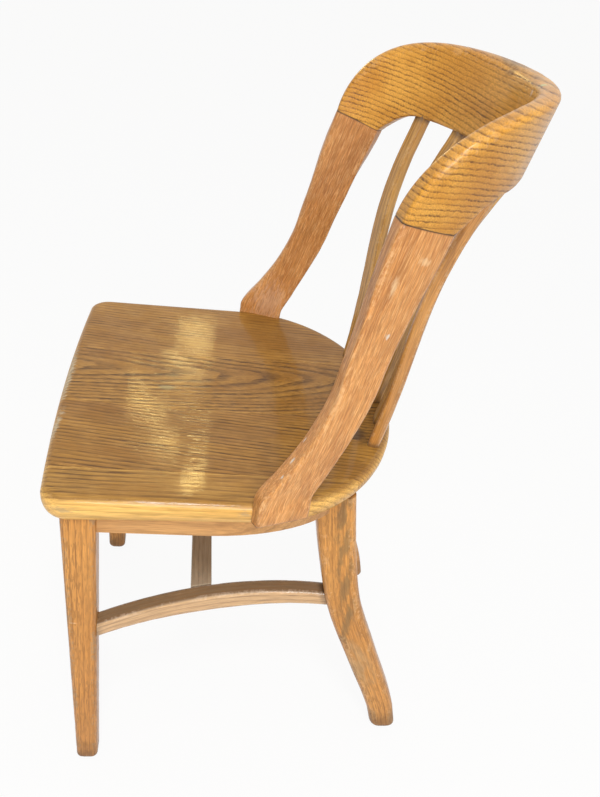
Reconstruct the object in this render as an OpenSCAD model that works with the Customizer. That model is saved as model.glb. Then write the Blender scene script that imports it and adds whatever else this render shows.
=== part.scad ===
// Spindle dining chair in oak.
// Y runs back from the front edge of the seat, X is to the sitter's left and Z is up from the floor.
// The finished model is moved so that its origin lies under the middle of its box.

/* [Seat] */
// Height of the seat's flat rim above the floor
seat_height = 447; // [400:1:480]
// Width of the seat across its straight sides
seat_width = 450; // [430:1:480]
// Length of the straight sides, from the front edge to where the back begins to round
seat_straight = 226; // [215:1:240]
// Depth of the half-oval behind the straight sides
seat_round = 175; // [168:1:185]
// Thickness of the seat boards
seat_thickness = 34; // [28:1:40]
// Bow of the front edge
seat_bow = 8; // [2:1:16]
// Corner radius at the front, seen from above
seat_corner = 24; // [18:1:32]
// Rounding of the seat's top edge
seat_top_round = 9; // [5:1:12]
// How far the edge turns under at the front
seat_under = 12; // [6:1:15]
// How far it turns under where the back begins to round
seat_under_side = 24; // [12:1:26]
// How far it turns under at the back
seat_under_back = 26; // [12:1:30]
// Depth of the hollow in the top
seat_hollow = 5; // [2:1:8]
// Glue line between the two boards on the sitter's left, from the centre line
glue_line_left = 172; // [150:1:190]
// Glue line near the middle, from the centre line
glue_line_middle = 45; // [30:1:70]
// Glue line on the sitter's right, from the centre line
glue_line_right = -82; // [-86:1:-50]

/* [Seat frame] */
// Height of the rails under the seat
rail_height = 22; // [18:1:30]
// Width of the rails, seen from above
rail_width = 30; // [24:1:36]
// How far the side rails stand in from the seat's edge
rail_inset = 16; // [14:1:20]
// Further inset of the rails at the back
rail_inset_back = 12; // [8:1:16]
// Length of the straight part of the side rails, from the front edge of the seat
rail_straight = 155; // [140:1:170]
// How far the front rail stands in behind the front of the legs
rail_setback = 5; // [3:1:9]
// Thickness of a rail's tenon
tenon_thickness = 9; // [6:1:12]
// Length of a rail's tenon
tenon_length = 13; // [9:1:14]
// Leg of a corner block
block_size = 46; // [36:1:60]

/* [Front legs] */
// Distance between the centres of the front legs
front_leg_spread = 392; // [370:1:396]
// Rear face of the front legs, behind the seat's front edge
front_leg_back = 62; // [58:1:72]
// Square of a front leg at its head
front_leg_head = 37; // [33:1:39]
// Square of a front leg at the floor
front_leg_foot = 26; // [22:1:32]
// Rounding of the front legs' long edges
leg_round = 6; // [4:1:9]
// Rounding of the legs' feet
foot_round = 11; // [6:1:12]

/* [Rear legs] */
// Distance between the centres of the rear legs
rear_leg_spread = 294; // [270:1:300]
// Thickness of a rear leg, side to side
rear_leg_thickness = 34; // [32:1:36]
// Rounding of the rear legs' long edges
rear_leg_round = 10; // [5:1:11]
// Depth of a rear leg at its head
rear_leg_head = 48; // [44:1:50]
// Depth of a rear leg near the floor
rear_leg_foot = 34; // [30:1:40]
// Centre of a rear leg's head, behind the seat's front edge
rear_leg_set = 319; // [310:1:321]
// How far a rear leg sweeps back from its head to the floor
rear_leg_sweep = 132; // [100:1:150]

/* [Stretchers] */
// Height of the stretchers' top faces above the floor
stretcher_level = 253; // [200:1:300]
// Width of the stretchers at the sides, seen from above
stretcher_width = 22; // [18:1:24]
// Height of a side stretcher at its ends
stretcher_end = 21; // [16:1:24]
// Height of a side stretcher at its middle
stretcher_middle = 25; // [22:1:30]
// How far a side stretcher bows in from a straight line
stretcher_bow = 21; // [8:1:28]
// Width of the stretcher that joins the two, seen from above
cross_width = 25; // [20:1:32]
// Thickness of the stretcher that joins the two
cross_thickness = 18; // [15:1:20]
// Centre of the stretcher that joins the two, behind the seat's front edge
cross_set = 179; // [160:1:200]
// Diameter of the stretchers' round tenons
round_tenon = 12; // [9:1:14]
// Length of the stretchers' round tenons
round_tenon_length = 13; // [9:1:14]

/* [Back posts] */
// Thickness of a post
post_thickness = 22; // [20:1:24]
// Front edge of a post's foot, behind the seat's front edge
post_set = 218; // [205:1:222]
// How far a post's foot is let into the seat's side at its front
post_housing = 2; // [1:1:4]
// How far the foot reaches below the seat's top
post_drop = 20; // [16:1:24]
// Rise of the foot's lower face from its inner to its outer edge
post_toe_rise = 7; // [2:1:8]
// Height from the seat's top to the joint under the crest rail
post_rise = 305; // [280:1:340]
// Width of a post at the seat
post_foot_width = 59; // [54:1:62]
// Width of a post at its waist
post_waist_width = 43.5; // [40:0.5:48]
// Turn of a post's foot, seen from above
post_turn = 18; // [12:1:24]
// Rounding of a post's edges
post_round = 4; // [2:1:6]

/* [Crest rail] */
// Thickness of the crest rail
crest_thickness = 22; // [20:1:24]
// Height of the crest rail's top edge above the joints
crest_rise = 101; // [90:1:115]
// Height of its lower edge above the rear corner of the joints
crest_lift = 27; // [22:1:34]
// Half of the width between the wings at the lower edge
crest_half = 193; // [186:1:196]
// Flare of each wing from the lower edge to the top
crest_flare = 14; // [4:1:18]
// Depth of the crest rail's curve
crest_depth = 164; // [155:1:172]
// Centre of that curve behind the seat's front edge, level with the lower edge
crest_set = 290; // [284:1:296]
// Lean of the crest rail
crest_lean = 10.4; // [4:0.2:14]
// Rounding of the crest rail's top edge
crest_top_round = 8; // [5:1:9.5]
// Rounding of its lower outer edge at the back
crest_low_round = 10; // [4:1:10.5]

/* [Spindles] */
// Width of a spindle
spindle_width = 22; // [18:1:26]
// Width of a spindle under the crest rail
spindle_top_width = 19; // [16:1:22]
// Thickness of a spindle
spindle_thickness = 14; // [11:1:16]
// Rounding of a spindle's edges
spindle_round = 4; // [2:1:5]
// Distance of the outer spindles from the centre line, at the seat
spindle_spread = 99; // [96:1:112]
// Distance of the inner spindles from the centre line, at the seat
spindle_spread_inner = 52; // [51:1:58]
// Distance of the spindles' centres from the seat's edge
spindle_inset = 15; // [13:1:18]
// Place of the outer spindles round the crest rail's curve, in degrees from its open end
spindle_angle = 45; // [45:1:52]
// Place of the inner spindles round the crest rail's curve
spindle_angle_inner = 64; // [62:1:72]
// Share of the crest rail's turn that a spindle's head takes up
spindle_head_share = 0.5; // [0:0.1:1]
// Diameter of the round tenons at the spindles' ends
spindle_tenon = 10; // [8:1:11]
// Length of those tenons
spindle_tenon_length = 18; // [12:1:24]

/* [Fasteners] */
// Diameter of the dowels in the posts
dowel_diameter = 9; // [7:1:10]
// Length of the dowels under the crest rail
crest_dowel_length = 36; // [24:1:44]
// Length of the dowels that hold the posts to the seat
post_dowel_length = 36; // [28:1:40]
// Diameter of the wood screws
screw_diameter = 4.5; // [3.5:0.5:5]
// Diameter of a screw's head
screw_head = 8.5; // [7:0.5:9]
// How far a seat screw reaches into the seat
screw_bite = 18; // [12:1:20]
// Length of a corner block's screw
block_screw_length = 34; // [28:1:40]
// Clearance round each dowel, tenon and screw
fit = 0.1; // [0.05:0.05:0.2]

/* [Hidden] */
seat_oak = "#B07A2E";
leg_oak = "#C17A30";
post_oak = "#C97F3C";
crest_oak = "#BC7F2A";
hidden_oak = "#A9764A";
dowel_beech = "#D8B88A";
steel = "#8A8A86";
$fn = 48;

// A value part of the way between two others
function mix(a, b, t) = a + (b - a) * t;
function within(t) = min(1, max(0, t));
// A smooth step from 0 to 1
function ease(t) = let (u = within(t)) u * u * (3 - 2 * u);

// Height of a smooth curve, through points of place and height, at one place
function tangent(p, k) = let (a = max(0, k - 1), b = min(len(p) - 1, k + 1))
    (p[b][1] - p[a][1]) / (p[b][0] - p[a][0]);
function curve(p, x) = let (
    k = max([for (i = [0 : len(p) - 2]) if (i == 0 || p[i][0] <= x) i]),
    h = p[k + 1][0] - p[k][0],
    t = (x - p[k][0]) / h)
    p[k][1] * (2 * t ^ 3 - 3 * t ^ 2 + 1) + tangent(p, k) * h * (t ^ 3 - 2 * t ^ 2 + t)
    + p[k + 1][1] * (3 * t ^ 2 - 2 * t ^ 3) + tangent(p, k + 1) * h * (t ^ 3 - t ^ 2);

// Points round a rectangle with rounded corners, as shares of its width and as depths; the
// corner at the start of the width and the full depth may have a rounding of its own
function rounded(width, depth, far_round, near_round, steps, deep_round = 0) = [
    for (corner = [[1, 1, far_round], [0, 1, max(near_round, deep_round)], [0, 0, near_round],
            [1, 0, far_round]], i = [0 : steps])
        let (
            r = min(corner[2], width * 0.45, depth * 0.49),
            turn = (corner[0] == 1 ? (corner[1] == 1 ? 0 : 270) : (corner[1] == 1 ? 90 : 180))
                + 90 * i / steps,
            u = (corner[0] == 1 ? width - r : r) + r * cos(turn),
            v = (corner[1] == 1 ? depth - r : r) + r * sin(turn))
        [u / width, v]];

// A closed solid through rings that have the same count of points
module loft(rings) {
    count = len(rings[0]);
    last = len(rings) - 1;
    points = [for (ring = rings, p = ring) p];
    sides = [for (k = [0 : last - 1], i = [0 : count - 1])
        let (a = k * count + i, b = k * count + (i + 1) % count)
        each [[a, b, b + count], [a, b + count, a + count]]];
    foot = [for (i = [1 : count - 2]) [0, i + 1, i]];
    head = [for (i = [1 : count - 2]) [last * count, last * count + i, last * count + i + 1]];
    polyhedron(points = points, faces = [for (f = concat(foot, sides, head)) [f[0], f[2], f[1]]]);
}

// The sitter's right is the mirror of the left
module right_hand() {
    mirror([1, 0, 0]) children();
}

// A rod from one point towards another
module rod(from, towards, length, diameter) {
    way = (towards - from) / norm(towards - from);
    translate(from)
        rotate([0, acos(way[2]), atan2(way[1], way[0])])
            rotate([0, 0, 33])
                cylinder(d = diameter, h = length);
}

// Seat
seat_half = seat_width / 2;
seat_base = seat_height - seat_thickness;
seat_depth = seat_straight + seat_round;
front_steps = 5;
corner_steps = 5;
oval_steps = 15;

// Right half of the seat's outline, from the front middle to the back middle, drawn in by one
// inset at the front, one where the back begins to round and one at the back
function half_outline(inset, side_inset, back_inset) = let (
    r = seat_corner - inset * 0.5,
    flat = seat_half - inset - r,
    corner_y = inset + seat_bow * (flat / seat_half) ^ 2 + r)
    concat(
        [for (i = [0 : front_steps - 1]) let (x = flat * i / front_steps)
            [x, inset + seat_bow * (x / seat_half) ^ 2]],
        [for (i = [0 : corner_steps]) let (a = -90 + 90 * i / corner_steps)
            [flat + r * cos(a), corner_y + r * sin(a)]],
        [for (i = [0 : oval_steps]) let (a = 90 * i / oval_steps)
            [(seat_half - side_inset) * cos(a), seat_straight + (seat_round - back_inset) * sin(a)]]);
function outline(inset, side_inset, back_inset) = let (
    half = half_outline(inset, side_inset, back_inset), n = len(half))
    concat(half, [for (i = [n - 2 : -1 : 1]) [-half[i][0], half[i][1]]]);
function level(points, z) = [for (p = points) [p[0], p[1], z]];

// The edge's widest line lies just under the rounding of the top
widest = seat_height - seat_top_round;
hollow_y = seat_depth * 0.52;
function hollow_ring(f) = [for (p = outline(seat_top_round, seat_top_round, seat_top_round))
    [p[0] * f, mix(hollow_y, p[1], f), seat_height - seat_hollow * (1 - f ^ 2) ^ 1.5]];
module seat_form() {
    under = [for (i = [0 : 4]) let (a = 90 * i / 4, f = 1 - sin(a))
        level(outline(seat_under * f, seat_under_side * f, seat_under_back * f),
            mix(widest, seat_base, cos(a)))];
    over = [for (i = [1 : 3]) let (a = 90 * i / 3, inset = seat_top_round * (1 - cos(a)))
        level(outline(inset, inset, inset), widest + seat_top_round * sin(a))];
    hollow = [for (f = [0.9, 0.72, 0.5, 0.25, 0.02]) hollow_ring(f)];
    loft(concat(under, over, hollow));
}

// One board of the seat, with the housings and holes that fall in it
module seat_board(from, to) {
    color(seat_oak) difference() {
        intersection() {
            seat_form();
            translate([from, -1, seat_base - 1]) cube([to - from, seat_depth + 2, seat_thickness + 2]);
        }
        for (side = [0, 1]) mirror([side, 0, 0]) {
            post_foot_space();
            post_dowel_pair(fit);
        }
        for (place = spindle_places) spindle_seat_tenon(place, fit);
        seat_screw_set(fit);
    }
}

// Front legs
front_leg_x = front_leg_spread / 2;
leg_top = seat_base;
corner_points = 4;
function leg_ring(x, back, depth_x, depth_y, z, inset, r) = [
    for (p = rounded(depth_x - 2 * inset, depth_y - 2 * inset, r, r, corner_points))
        [x - depth_x / 2 + inset + p[0] * (depth_x - 2 * inset), back - inset - p[1], z]];
// A foot is domed: its section draws in over the last stretch above the floor
function foot_inset(z) = z >= foot_round ? 0
    : 0.8 * foot_round * (1 - sqrt(1 - ((foot_round - z) / foot_round) ^ 2));
foot_levels = [0, 0.12, 0.35, 0.65, 1];
function front_leg_square(z) = mix(front_leg_foot, front_leg_head, z / leg_top);
module front_leg() {
    levels = concat([for (f = foot_levels) f * foot_round], [leg_top * 0.5, leg_top]);
    color(leg_oak) difference() {
        loft([for (z = levels) let (s = front_leg_square(z))
            leg_ring(front_leg_x, front_leg_back, s, s, z, foot_inset(z), leg_round)]);
        front_rail_tenon(fit);
        side_rail_tenon(fit);
        side_stretcher_front_tenon(fit);
    }
}

// Rear legs
rear_leg_x = rear_leg_spread / 2;
// Share of the sweep that a rear leg has taken at each share of its way down
rear_leg_shape = [[0, 0], [0.22, 0.13], [0.43, 0.295], [0.65, 0.58], [0.88, 0.89], [1, 1]];
function rear_leg_y(z) = rear_leg_set + rear_leg_sweep * curve(rear_leg_shape, 1 - z / leg_top);
function rear_leg_slope(z) = (rear_leg_y(z - 1) - rear_leg_y(z + 1)) / 2;
function rear_leg_depth(z) = mix(rear_leg_foot, rear_leg_head, z / leg_top)
    * sqrt(1 + rear_leg_slope(within(z / leg_top) * (leg_top - 2) + 1) ^ 2);
rear_leg_rings = 16;
module rear_leg() {
    levels = concat([for (f = foot_levels) f * foot_round],
        [for (i = [1 : rear_leg_rings]) mix(foot_round, leg_top, i / rear_leg_rings)]);
    color(leg_oak) difference() {
        loft([for (z = levels)
            leg_ring(rear_leg_x, rear_leg_y(z) + rear_leg_depth(z) / 2, rear_leg_thickness,
                rear_leg_depth(z), z, foot_inset(z), rear_leg_round)]);
        side_rail_band(fit);
        rear_rail_tenon(fit);
        side_stretcher_rear_tenon(fit);
        rail_screw(fit);
    }
}

// Seat frame
rail_base = seat_base - rail_height;
rail_half = seat_half - rail_inset;
rail_oval = seat_straight + seat_round - rail_straight - rail_inset - rail_inset_back;
band_steps = 24;
// The rails round the back are fuller than an ellipse
band_power = 0.8;
function band_edge(inset) = [for (i = [0 : band_steps]) let (a = 90 * i / band_steps)
    [(rail_half - inset) * cos(a) ^ band_power,
     rail_straight + (rail_oval - inset) * sin(a) ^ band_power]];
// Middle of a rail's width at a distance from the centre line
function rail_middle(x) = rail_straight + (rail_oval - rail_width / 2)
    * (1 - (x / (rail_half - rail_width / 2)) ^ (2 / band_power)) ^ (band_power / 2);
// Plan of a rail that follows the seat's edge, from the front leg round to the back
module rail_plan(slack) {
    outer = band_edge(-slack);
    inner = band_edge(rail_width + slack);
    polygon(concat([[rail_half - rail_width - slack, front_leg_back]],
        [[rail_half + slack, front_leg_back]], outer, [for (i = [band_steps : -1 : 0]) inner[i]]));
}
// The stretch of that rail between the front leg and the middle of the rear leg
module side_rail_band(slack) {
    translate([0, 0, rail_base - slack])
        linear_extrude(rail_height + slack + (slack > 0 ? 1 : 0))
            intersection() {
                rail_plan(slack);
                translate([rear_leg_x - slack, 0]) square([seat_half, seat_depth]);
            }
}
module side_rail_tenon(slack) {
    translate([rail_half - rail_width / 2 - tenon_thickness / 2 - slack,
            front_leg_back - tenon_length - slack, rail_base + rail_height * 0.25 - slack])
        cube([tenon_thickness + 2 * slack, tenon_length + 2 * slack, rail_height * 0.5 + 2 * slack]);
}
module side_rail() {
    color(leg_oak) difference() {
        union() {
            side_rail_band(0);
            side_rail_tenon(0);
        }
        seat_screw_set(fit);
        rail_screw(fit);
        block_screw_pair(fit);
    }
}
front_rail_y = front_leg_back - front_leg_head + rail_setback;
front_rail_end = front_leg_x - front_leg_head / 2;
front_rail_width = front_leg_head - 2 * rail_setback;
module front_rail_tenon(slack) {
    translate([front_rail_end - slack - 1, front_rail_y + rail_setback - slack,
            rail_base + rail_height * 0.25 - slack])
        cube([tenon_length + 1 + 2 * slack, tenon_thickness + 2 * slack,
            rail_height * 0.5 + 2 * slack]);
}
module front_rail() {
    color(leg_oak) difference() {
        union() {
            translate([-front_rail_end, front_rail_y, rail_base])
                cube([2 * front_rail_end, front_rail_width, rail_height]);
            front_rail_tenon(0);
            right_hand() front_rail_tenon(0);
        }
        seat_screw_set(fit);
        block_screw_pair(fit);
        right_hand() block_screw_pair(fit);
    }
}
rear_rail_end = rear_leg_x - rear_leg_thickness / 2;
module rear_rail_tenon(slack) {
    translate([rear_rail_end - slack - 1, rear_leg_set - tenon_thickness / 2 - slack,
            rail_base + rail_height * 0.25 - slack])
        cube([tenon_length + 1 + 2 * slack, tenon_thickness + 2 * slack,
            rail_height * 0.5 + 2 * slack]);
}
module rear_rail() {
    color(leg_oak) difference() {
        union() {
            for (side = [0, 1]) mirror([side, 0, 0]) {
                translate([0, 0, rail_base]) linear_extrude(rail_height) intersection() {
                    rail_plan(0);
                    translate([-1, 0]) square([rear_rail_end + 1, seat_depth]);
                }
                rear_rail_tenon(0);
            }
        }
        seat_screw_set(fit);
    }
}

// Corner blocks stand in the front corners of the frame, behind the front rail
block_x = rail_half - rail_width;
block_y = front_rail_y + front_rail_width;
module corner_block() {
    color(hidden_oak) difference() {
        translate([0, 0, rail_base + 1]) linear_extrude(rail_height - 2) difference() {
            polygon([[block_x, block_y], [block_x, block_y + block_size],
                [block_x - block_size, block_y]]);
            translate([front_leg_x - front_leg_head / 2 - fit, front_leg_back - front_leg_head - fit])
                square(front_leg_head + 2 * fit);
        }
        block_screw_pair(fit);
    }
}

// Stretchers
stretcher_front = [front_leg_x + 3, front_leg_back];
stretcher_rear_z = stretcher_level - stretcher_end / 2;
stretcher_rear = [rear_leg_x - 4, rear_leg_y(stretcher_rear_z) - rear_leg_depth(stretcher_rear_z) / 2];
stretcher_steps = 12;
// Centre of a side stretcher at a share of its length, from the front
function stretcher_x(t) = mix(stretcher_front[0], stretcher_rear[0], t)
    - stretcher_bow * 4 * t * (1 - t);
function stretcher_y(t) = mix(stretcher_front[1], stretcher_rear[1], t);
function stretcher_depth(t) = mix(stretcher_end, stretcher_middle, ease(1 - abs(2 * t - 1)));
// At its rear end the section follows the slope of the leg's front face
function stretcher_ring(t) = let (h = stretcher_depth(t), slope = rear_leg_slope(stretcher_rear_z))
    [for (p = rounded(stretcher_width, h, 4, 4, 2))
        [stretcher_x(t) - stretcher_width / 2 + p[0] * stretcher_width,
         stretcher_y(t) + (t > 0.99 ? (p[1] - h / 2) * slope : 0),
         stretcher_level - p[1]]];
stretcher_front_z = stretcher_level - stretcher_end / 2;
module side_stretcher_front_tenon(slack) {
    rod([stretcher_front[0], front_leg_back + 1, stretcher_front_z],
        [stretcher_front[0], 0, stretcher_front_z], round_tenon_length + 1 + slack,
        round_tenon + 2 * slack);
}
module side_stretcher_rear_tenon(slack) {
    rod([stretcher_rear[0], stretcher_rear[1] - 4, stretcher_rear_z],
        [stretcher_rear[0], seat_depth, stretcher_rear_z], round_tenon_length + 4 + slack,
        round_tenon + 2 * slack);
}
cross_t = (cross_set - stretcher_front[1]) / (stretcher_rear[1] - stretcher_front[1]);
cross_end = stretcher_x(cross_t) - stretcher_width / 2;
module cross_tenon(slack) {
    rod([cross_end - 3, cross_set, stretcher_level - cross_thickness / 2],
        [cross_end, cross_set, stretcher_level - cross_thickness / 2],
        round_tenon_length + 3 + slack, round_tenon - 2 + 2 * slack);
}
module side_stretcher() {
    color(leg_oak) difference() {
        union() {
            loft([for (i = [0 : stretcher_steps]) stretcher_ring(i / stretcher_steps)]);
            side_stretcher_front_tenon(0);
            side_stretcher_rear_tenon(0);
        }
        cross_tenon(fit);
    }
}
// The ends of the cross stretcher are cut to the lean of the curved stretchers that they meet
function cross_edge(y) = stretcher_x((y - stretcher_front[1]) / (stretcher_rear[1] - stretcher_front[1]))
    - stretcher_width / 2;
module cross_stretcher() {
    a = cross_set - cross_width / 2;
    b = cross_set + cross_width / 2;
    end_a = cross_edge(a) - 0.3;
    end_b = cross_edge(b) - 0.3;
    color(leg_oak) union() {
        translate([0, 0, stretcher_level - cross_thickness]) linear_extrude(cross_thickness)
            polygon([[-end_a, a], [end_a, a], [end_b, b], [-end_b, b]]);
        cross_tenon(0);
        right_hand() cross_tenon(0);
    }
}

// Crest rail: a band on a leaning oval, from the joint on one post to the joint on the other
joint_z = seat_height + post_rise;
joint_front_angle = 9;
joint_rear_angle = 28.5;
joint_drop = 13;
crest_low = joint_z - joint_drop + crest_lift;
crest_top = joint_z + crest_rise;
lean = tan(crest_lean);
function crest_inner(turn, z) = [
    mix(crest_half, crest_half + crest_flare, (z - crest_low) / (crest_top - crest_low)) * cos(turn),
    crest_set + lean * (z - crest_low) + crest_depth * sin(turn), z];
function crest_normal(turn) = let (n = [crest_depth * cos(turn), crest_half * sin(turn), 0])
    n / norm(n);
// The top edge climbs from the joint in a quarter round and then runs level
function top_turn(s) = mix(joint_front_angle, 90, s ^ 1.9);
function top_height(turn) = let (u = (turn - joint_front_angle) / (90 - joint_front_angle))
    joint_z + crest_rise * sqrt(1 - (1 - u) ^ 5);
function low_turn(s) = mix(joint_rear_angle, 90, s ^ 1.3);
function low_height(turn) = let (u = within((turn - joint_rear_angle) / 16))
    joint_z - joint_drop + crest_lift * (1 - (1 - u) ^ 2);
// The joint is a flat plane, cut square across the post
joint_y = crest_inner(joint_front_angle, joint_z)[1];
joint_rear_y = crest_inner(joint_rear_angle, joint_z - joint_drop)[1];
joint_slope = joint_drop / (joint_rear_y - joint_y);
function joint_plane(y) = joint_z - joint_slope * (y - joint_y);
// Point of the crest rail at a share along it, a share up its section and a depth from its inner face
function crest_raw(s, v, w) = let (
    turn = mix(low_turn(s), top_turn(s), v),
    z = mix(low_height(low_turn(s)), top_height(top_turn(s)), v))
    crest_inner(turn, z) + w * crest_normal(turn);
// Its end is trimmed to the plane of the joint, and the trim fades out along the rail
function crest_point(s, v, w) = let (end = crest_raw(0, v, w))
    crest_raw(s, v, w) + [0, 0, (joint_plane(end[1]) - end[2]) * ease(1 - s / 0.3)];
function crest_span(s) = norm(crest_point(s, 1, 0) - crest_point(s, 0, 0));
function crest_ring(s) = let (
    up = mix(post_round, crest_top_round, ease(s / 0.4)),
    low = mix(post_round, crest_low_round, ease((s - 0.15) / 0.5)))
    [for (p = rounded(crest_span(s), crest_thickness, up, post_round, 4, low))
        crest_point(s, p[0], p[1])];
crest_steps = 18;
crest_half_rings = [for (i = [0 : crest_steps]) crest_ring(i / crest_steps)];
crest_rings = concat(crest_half_rings,
    [for (i = [crest_steps - 1 : -1 : 0]) [for (p = crest_half_rings[i]) [-p[0], p[1], p[2]]]]);
module crest_rail() {
    color(crest_oak) difference() {
        loft(crest_rings);
        for (side = [0, 1]) mirror([side, 0, 0]) crest_dowel_pair(fit);
        for (place = spindle_places) spindle_crest_tenon(place, fit);
    }
}

// Back posts
// Share of the sweep that the front edge has taken at each share of the post's height
post_shape = [[0, 0], [0.056, 0.02], [0.157, 0.235], [0.275, 0.455], [0.426, 0.645],
    [0.567, 0.735], [0.68, 0.805], [0.82, 0.88], [1, 1]];
// Share of its width's range that it has at each share of its height
post_taper = [[0, 1], [0.07, 0.98], [0.177, 0.45], [0.275, 0.13], [0.42, 0]];
// How far its front edge is square to its face, from 0 for an edge that lies straight across
post_square = [[0, 0.9], [0.1, 0.9], [0.25, 0.75], [0.43, 0.5], [0.62, 0.4], [0.82, 0.6], [1, 1]];
post_x = seat_half - post_housing;
post_in = post_x - crest_inner(joint_front_angle, joint_z)[0];
joint_width = joint_rear_y - joint_y;
joint_turn = atan2(crest_inner(joint_front_angle, joint_z)[0]
    - crest_inner(joint_rear_angle, joint_z - joint_drop)[0], joint_width);
function post_width(h) = h < 0.42
    ? mix(post_waist_width, post_foot_width, curve(post_taper, within(h)))
    : mix(post_waist_width, joint_width + 2, ease((h - 0.42) / 0.6));
function post_front(h) = post_set + (joint_y - post_set) * curve(post_shape, within(h));
function post_side(h) = post_x - post_in * within(h);
// Point of a post at a share of its height, a share forward in its section and a depth outward
function post_point(h, v, w) = let (
    k = within(h),
    turn = mix(post_turn, joint_turn, k),
    back = (1 - v) * post_width(k),
    edge = mix(0.2, curve(post_square, k), v),
    y = post_front(k) + back + edge * w * sin(turn))
    [post_side(k) - back * tan(turn) + w * cos(turn), y,
     seat_height + k * post_rise - k * joint_slope * (y - post_front(k))];
// The last stretch eases into the section of the crest rail, so that the two faces meet flush
function blended_point(h, v, w) = post_point(h, v, w)
    + ease((h - 0.6) / 0.4) * (crest_point(0, v, w) - post_point(1, v, w));
function post_ring(h) = let (span = norm(blended_point(h, 1, 0) - blended_point(h, 0, 0)))
    [for (p = rounded(span, post_thickness, post_round, post_round, 4))
        blended_point(h, p[0], p[1])];
// Rings of the foot, below the level of the seat's top; the lowest is eased on its outer side
function foot_ring(drop, toe, narrow) = [for (p = rounded(post_foot_width, post_thickness, post_round,
        post_round, 4))
    let (w = p[1] * narrow, q = blended_point(0, p[0], w))
        [q[0], q[1], q[2] - drop + toe * w / post_thickness]];
post_rings = 24;
module back_post() {
    color(post_oak) difference() {
        loft(concat(
            [foot_ring(post_drop, post_toe_rise, 0.9), foot_ring(post_drop - 3, post_toe_rise, 1)],
            [for (i = [0 : post_rings]) post_ring(i / post_rings)]));
        post_dowel_pair(fit);
        crest_dowel_pair(fit);
    }
}
// The housing in the seat's side that a post's foot stands in
module post_foot_space() {
    slack = 0.2;
    out = post_thickness * 2;
    a = post_point(0, 1, -slack);
    b = post_point(0, 0, -slack);
    c = post_point(0, 0, out);
    d = post_point(0, 1, out);
    translate([0, 0, seat_height - post_drop - slack])
        linear_extrude(post_drop + 2)
            polygon([[a[0], a[1] - slack], [b[0], b[1] + slack], [c[0], c[1] + slack],
                [d[0], d[1] - slack]]);
}

// Dowels
module dowel(from, towards, length, slack) {
    rod(from, towards, length, dowel_diameter + 2 * slack);
}
module post_dowel_pair(slack) {
    inward = [-cos(post_turn), -sin(post_turn), 0];
    for (v = [0.27, 0.68]) {
        face = post_point(0, v, 0);
        start = [face[0], face[1], seat_height - post_drop * 0.45] - inward * (post_thickness * 0.62);
        dowel(start, start + inward, post_dowel_length, slack);
    }
}
module crest_dowel_pair(slack) {
    square_up = [0, joint_slope, 1] / norm([0, joint_slope, 1]);
    for (v = [0.32, 0.72]) {
        middle = crest_point(0, v, crest_thickness / 2);
        start = middle - square_up * crest_dowel_length / 2;
        dowel(start, start + square_up, crest_dowel_length, slack);
    }
}
module post_dowels() {
    color(dowel_beech) for (side = [0, 1]) mirror([side, 0, 0]) post_dowel_pair(0);
}
module crest_dowels() {
    color(dowel_beech) for (side = [0, 1]) mirror([side, 0, 0]) crest_dowel_pair(0);
}

// Spindles, counted from the middle one to the outer ones, with minus on the sitter's right
spindle_places = [-2, -1, 0, 1, 2];
function by_place(place, middle, inner, outer) =
    abs(place) == 2 ? outer : (abs(place) == 1 ? inner : middle);
// Share of the lean that a spindle has taken at each share of its height
spindle_shape = [[0, 0], [0.13, 0.11], [0.28, 0.2], [0.43, 0.26], [0.55, 0.31], [0.66, 0.39],
    [0.75, 0.5], [0.85, 0.67], [1, 1]];
function spindle_x(place) = sign(place) * by_place(place, 0, spindle_spread_inner, spindle_spread);
function spindle_foot(place) = let (
    x = spindle_x(place),
    edge = seat_straight + seat_round * sqrt(1 - (x / seat_half) ^ 2))
    [x, edge - spindle_inset / cos(spindle_foot_turn(place)), seat_height];
function spindle_foot_turn(place) = let (x = spindle_x(place))
    -atan(seat_round * x / (seat_half ^ 2 * sqrt(1 - (x / seat_half) ^ 2)));
function spindle_turn(place) = by_place(place, 90, spindle_angle_inner, spindle_angle);
function spindle_head(place) = let (
    turn = spindle_turn(place),
    p = crest_inner(turn, crest_low) + 0.42 * crest_thickness * crest_normal(turn))
    [sign(place) * abs(p[0]), p[1], crest_low];
function spindle_head_turn(place) = let (normal = crest_normal(spindle_turn(place)))
    -sign(place) * spindle_head_share * (90 - atan2(normal[1], normal[0]));
function spindle_centre_line(place, h) = let (a = spindle_foot(place), b = spindle_head(place))
    [mix(a[0], b[0], h), a[1] + (b[1] - a[1]) * curve(spindle_shape, h), mix(a[2], b[2], h)];
function spindle_ring(place, h) = let (
    c = spindle_centre_line(place, h),
    width = mix(spindle_width, spindle_top_width, ease((h - 0.5) * 2)),
    turn = mix(spindle_foot_turn(place), spindle_head_turn(place), h))
    [for (p = rounded(width, spindle_thickness, spindle_round, spindle_round, 3))
        let (u = (p[0] - 0.5) * width, v = p[1] - spindle_thickness / 2)
        [c[0] + u * cos(turn) - v * sin(turn), c[1] + u * sin(turn) + v * cos(turn), c[2]]];
spindle_rings = 16;
module spindle_seat_tenon(place, slack) {
    foot = spindle_foot(place);
    translate(foot - [0, 0, spindle_tenon_length + slack])
        cylinder(d = spindle_tenon + 2 * slack, h = spindle_tenon_length + 1 + slack);
}
module spindle_crest_tenon(place, slack) {
    head = spindle_head(place);
    neck = spindle_centre_line(place, 0.97);
    rod(neck, head, norm(head - neck) + spindle_tenon_length + slack, spindle_tenon + 2 * slack);
}
module spindle(place) {
    color(crest_oak) union() {
        loft([for (i = [0 : spindle_rings]) spindle_ring(place, i / spindle_rings)]);
        spindle_seat_tenon(place, 0);
        spindle_crest_tenon(place, 0);
    }
}

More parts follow.
